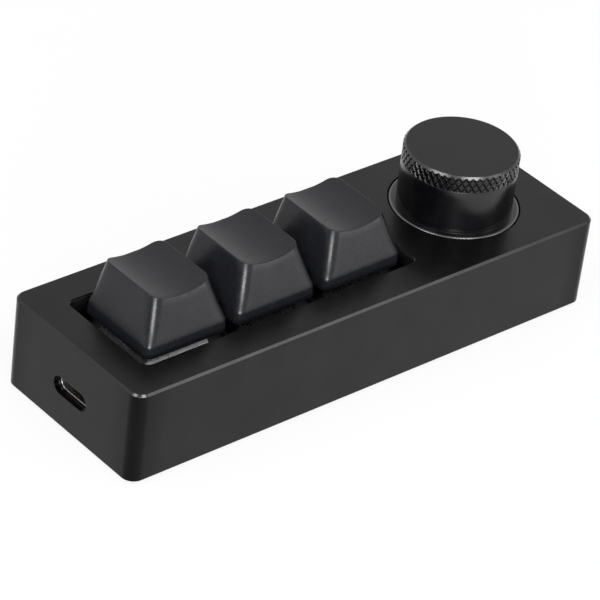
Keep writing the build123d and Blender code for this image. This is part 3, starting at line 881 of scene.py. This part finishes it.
def finishFaces(piece):  # a rougher flat top, a shinier chamfer round it and a pale flange edge
    s = knobShape
    for finishName in ("knobTopBlack", "knobEdgeBlack", "knobRim"):
        piece.data.materials.append(finishes[finishName])
    flatFace, chamferFace, flangeFace = 1, 2, 3
    centreX, bottom, top = inMetres(knobCentre())
    flatFoot = top - s["flatSlack"] * mm
    chamferFoot = top - s["rimRise"] * mm
    flangeFoot = bottom + (s["flangeThickness"] - s["flangeEdge"]) * mm
    flangeInner = (s["flangeRadius"] - s["flangeEdge"]) * mm
    leastUp, mostUp = s["chamferUp"]
    for face in piece.data.polygons:
        up, middle = face.normal.z, face.center
        if up > s["flatUp"] and middle.z > flatFoot:
            face.material_index = flatFace
        elif leastUp < up < mostUp and middle.z > chamferFoot:
            face.material_index = chamferFace
        elif middle.z > flangeFoot and math.hypot(middle.x - centreX, middle.y) > flangeInner:
            face.material_index = flangeFace


body = dress(knobBody(), "knob", finishes["knobBlack"])
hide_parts("knob")
finishFaces(body)
finishFaces(dress(knurlBand(), "knob", finishes["knurlBlack"]))
print("knob built")


# return springs: round wire wound in a helix

springShape = {
    "radius": 1.95,
    "wire": 0.2,
    "turns": 5,
    "stepsPerTurn": 28,
    "sides": 8,
    "seatZ": 8.4,
    "footGap": 0.25,
    "headGap": 0.2,
    "keep": 0.33,
    "crease": 60,
}


def springCoil(number):
    s = springShape
    low, high = (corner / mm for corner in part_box(f"switch_spring_{number}"))
    centreX = (low.x + high.x) / 2
    foot, head = s["seatZ"] + s["footGap"], high.z - s["headGap"]
    steps = s["turns"] * s["stepsPerTurn"]
    rings = []
    for k in range(steps + 1):
        a = 2 * math.pi * k / s["stepsPerTurn"]
        z = foot + (head - foot) * k / steps
        ring = []
        for b in fullTurn(s["sides"]):
            r = s["radius"] + s["wire"] * math.cos(b)
            ring.append((centreX + r * math.cos(a), r * math.sin(a), z + s["wire"] * math.sin(b)))
        rings.append(ring)
    points, faces = [], []
    starts = stitchRings(points, faces, rings)
    for start, ring in ((starts[0], rings[0]), (starts[-1], rings[-1])):
        centre = tuple(sum(values) / len(ring) for values in zip(*ring))
        capRing(points, faces, start, len(ring), centre)
    coil = meshPiece(f"springCoil_{number}", points, faces, s["crease"])
    dress(coil, "base", finishes["springSteel"])
    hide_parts(f"switch_spring_{number}")
    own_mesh(coil)


for number in keyNumbers:
    springCoil(number)
print("springs wound")


# cover screws: round heads with hexagon sockets, between the feet

screwShape = {
    "x": 50.0,
    "y": 14.15,
    "headRadius": 1.5,
    "headHeight": 0.5,
    "sideHeight": 0.12,
    "crownShare": 0.72,
    "crownSteps": 5,
    "socketWidth": 1.3,
    "socketDepth": 0.35,
    "socketFlare": 0.15,
    "flareDepth": 0.06,
    "drillPoint": 0.08,
    "steps": 48,
    "crease": 30,
}


def coverScrew(name, x, y):
    s = screwShape
    seat = (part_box("bottom_cover")[0] / mm).z
    face = seat - s["headHeight"]
    r, steps = s["headRadius"], s["steps"]
    crown = (r, seat - s["sideHeight"]), (r, face), (r * s["crownShare"], face)
    head = [(r, seat), *roundedCorner(*crown, s["crownSteps"])]

    def hexagon(z, width):  # the same count of points, set on six flats
        ring = []
        for a in fullTurn(steps):
            q = width / 2 / math.cos((a % (math.pi / 3)) - math.pi / 6)
            ring.append((x + q * math.cos(a), y + q * math.sin(a), z))
        return ring

    rings = latheRings(head, steps, x, y)
    rings.append(hexagon(face, s["socketWidth"] + s["socketFlare"]))
    rings.append(hexagon(face + s["flareDepth"], s["socketWidth"]))
    rings.append(hexagon(face + s["socketDepth"], s["socketWidth"]))
    points, faces = [], []
    starts = stitchRings(points, faces, rings)
    capRing(points, faces, starts[-1], steps, (x, y, face + s["socketDepth"] + s["drillPoint"]))
    capRing(points, faces, starts[0], steps, (x, y, seat))
    return meshPiece(name, points, faces, s["crease"])


screwSigns = [(signX, signY) for signX in (-1, 1) for signY in (-1, 1)]
for number, (signX, signY) in enumerate(screwSigns, 1):
    screwX, screwY = signX * screwShape["x"], signY * screwShape["y"]
    screw = coverScrew(f"coverScrew_{number}", screwX, screwY)
    dress(screw, "base", finishes["screwSteel"])
print("cover screws set")


# contact strips on the socket's tongue

contactShape = {
    "count": 12,
    "pitch": 0.5,
    "width": 0.26,
    "length": 3.2,
    "longer": 0.3,
    "longEvery": 3,
    "thickness": 0.04,
    "sink": 0.005,
    "ramp": 0.08,
    "startGap": 0.35,
    "tongueHalf": 0.35,
    "crease": 20,
}


def tongueContacts():
    s = contactShape
    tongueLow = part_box("usb_tongue")[0] / mm
    shellLow, shellHigh = (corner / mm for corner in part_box("usb_shell"))
    middle = (shellLow.z + shellHigh.z) / 2
    start = tongueLow.x + s["startGap"]
    w = s["width"] / 2
    points, faces = [], []
    for side in (-1, 1):
        seat = middle + side * (s["tongueHalf"] - s["sink"])
        crown = middle + side * (s["tongueHalf"] + s["thickness"])
        for k in range(s["count"]):
            y = (k - (s["count"] - 1) / 2) * s["pitch"]
            end = start + (s["length"] if k % s["longEvery"] else s["length"] + s["longer"])
            ramped = start + s["ramp"]
            first = len(points)
            for front, z in ((start, seat), (ramped, crown)):
                points.extend([
                    (front, y - w, z), (end, y - w, z), (end, y + w, z), (front, y + w, z),
                ])
            for i in range(4):
                n = (i + 1) % 4
                faces.append((first + i, first + n, first + 4 + n, first + 4 + i))
            faces.append(tuple(first + i for i in range(4)))
            faces.append(tuple(first + 4 + i for i in range(4)))
    return meshPiece("tongueContacts", points, faces, s["crease"])


dress(tongueContacts(), "base", finishes["shadedContactGold"])
print("contacts laid")


# floor, light and camera: the stage is in metres, the camera's aim in millimetres

floorLook = {"size": 6.0, "drop": 0.00002, "pale": (0.80, 0.80, 0.80), "shine": 0.88}
worldLook = {"fill": 0.9}


def seenDirectly(tree):  # 1 where the camera, a reflection or clear plastic sees the surface
    path = tree.nodes.new("ShaderNodeLightPath")
    seen = path.outputs["Is Camera Ray"]
    for ray in ("Is Glossy Ray", "Is Transmission Ray"):
        either = tree.nodes.new("ShaderNodeMath")
        either.operation = "MAXIMUM"
        tree.links.new(seen, either.inputs[0])
        tree.links.new(path.outputs[ray], either.inputs[1])
        seen = either.outputs[0]
    return seen


def addFloor():
    s = floorLook
    half = s["size"] / 2
    level = -s["drop"]  # just clear of the feet
    corners = [(x * half, y * half, level) for x, y in ((-1, -1), (1, -1), (1, 1), (-1, 1))]
    mesh = bpy.data.meshes.new("floor")
    mesh.from_pydata(corners, [], [(0, 1, 2, 3)])
    floor = bpy.data.objects.new("floor", mesh)
    scene.collection.objects.link(floor)
    material = bpy.data.materials.new("paleFloor")
    material.use_nodes = True
    tree = material.node_tree
    tree.nodes.clear()
    output = tree.nodes.new("ShaderNodeOutputMaterial")
    matte = tree.nodes.new("ShaderNodeBsdfDiffuse")
    matte.inputs["Color"].default_value = (*s["pale"], 1)
    glow = tree.nodes.new("ShaderNodeEmission")
    mix = tree.nodes.new("ShaderNodeMixShader")
    share = tree.nodes.new("ShaderNodeMath")
    share.operation = "MULTIPLY"
    share.inputs[1].default_value = s["shine"]
    tree.links.new(seenDirectly(tree), share.inputs[0])
    tree.links.new(share.outputs[0], mix.inputs["Fac"])
    tree.links.new(matte.outputs[0], mix.inputs[1])
    tree.links.new(glow.outputs[0], mix.inputs[2])
    tree.links.new(mix.outputs[0], output.inputs["Surface"])
    mesh.materials.append(material)


def addWorld():
    world = bpy.data.worlds.new("studio")
    scene.world = world
    world.use_nodes = True
    tree = world.node_tree
    tree.nodes.clear()
    output = tree.nodes.new("ShaderNodeOutputWorld")
    seen = tree.nodes.new("ShaderNodeBackground")
    fill = tree.nodes.new("ShaderNodeBackground")
    fill.inputs["Strength"].default_value = worldLook["fill"]
    mix = tree.nodes.new("ShaderNodeMixShader")
    tree.links.new(seenDirectly(tree), mix.inputs["Fac"])
    tree.links.new(fill.outputs[0], mix.inputs[1])
    tree.links.new(seen.outputs[0], mix.inputs[2])
    tree.links.new(mix.outputs[0], output.inputs["Surface"])


darkCard = {"azimuth": 197.0, "distance": 0.6, "wide": 0.22, "tall": 0.24, "lift": 0.002}


def addDarkCard():  # a black flag off to the left, which the keys' edges reflect
    s = darkCard
    turn = math.radians(s["azimuth"])
    out = Vector((math.cos(turn), math.sin(turn), 0))
    along = Vector((-out.y, out.x, 0)) * s["wide"] / 2
    foot = out * s["distance"] + Vector((0, 0, s["lift"]))
    rise = Vector((0, 0, s["tall"]))
    corners = [foot - along, foot + along, foot + along + rise, foot - along + rise]
    mesh = bpy.data.meshes.new("darkCard")
    mesh.from_pydata(corners, [], [(0, 1, 2, 3)])
    mesh.materials.append(finishes["footRubber"])
    card = bpy.data.objects.new("darkCard", mesh)
    scene.collection.objects.link(card)
    card.visible_camera = False


softboxes = {
    "rightFront": {
        "towards": (0.521, -0.704, 0.40), "distance": 0.9, "wide": 0.34, "tall": 0.70, "glow": 1.5,
    },
    "rightLow": {
        "towards": (0.576, -0.808, 0.09), "distance": 0.9, "wide": 0.30, "tall": 0.15, "glow": 2.9,
    },
    "lowFront": {
        "towards": (-0.60, -0.80, 0.15), "distance": 1.0, "wide": 0.36, "tall": 0.34, "glow": 25.0,
    },
    "highFront": {
        "towards": (-0.08, -0.60, 0.80), "distance": 0.9, "wide": 0.36, "tall": 0.30, "glow": 8.0,
    },
    "highLeft": {
        "towards": (-0.63, 0.0, 0.78), "distance": 0.9, "wide": 0.36, "tall": 0.30, "glow": 6.0,
    },
}


def addSoftbox(name, s):
    data = bpy.data.lights.new(name, "AREA")
    data.shape = "RECTANGLE"
    data.size, data.size_y = s["wide"], s["tall"]
    data.energy = s["glow"] * math.pi * s["wide"] * s["tall"]  # radiance times pi times area
    lamp = bpy.data.objects.new(name, data)
    scene.collection.objects.link(lamp)
    towards = Vector(s["towards"]).normalized()
    turn = towards.to_track_quat("Z", "Y").to_matrix().to_4x4()
    lamp.matrix_world = Matrix.Translation(towards * s["distance"]) @ turn


cameraLook = {
    "azimuth": -44.077,
    "elevation": 34.101,
    "roll": 7.369,
    "aim": (1.658, 3.664, 6.391),
    "distance": 641.756,
    "lens": 210.272,
    "sensor": 36.0,
    "clipStart": 0.05,
}


def addCamera():
    s = cameraLook
    azimuth, elevation = math.radians(s["azimuth"]), math.radians(s["elevation"])
    back = Vector((
        math.sin(azimuth) * math.cos(elevation),
        -math.cos(azimuth) * math.cos(elevation),
        math.sin(elevation),
    ))
    data = bpy.data.cameras.new("photoCamera")
    data.lens = s["lens"]
    data.sensor_width = s["sensor"]
    data.clip_start = s["clipStart"]
    camera = bpy.data.objects.new("photoCamera", data)
    scene.collection.objects.link(camera)
    roll = Matrix.Rotation(math.radians(s["roll"]), 3, "Z")
    turn = back.to_track_quat("Z", "Y").to_matrix() @ roll
    eye = (Vector(s["aim"]) + back * s["distance"]) * mm
    camera.matrix_world = Matrix.Translation(eye) @ turn.to_4x4()
    scene.camera = camera


addFloor()
addWorld()
addDarkCard()
for boxName, boxLook in softboxes.items():
    addSoftbox(boxName, boxLook)
addCamera()
print("floor, light and camera set")
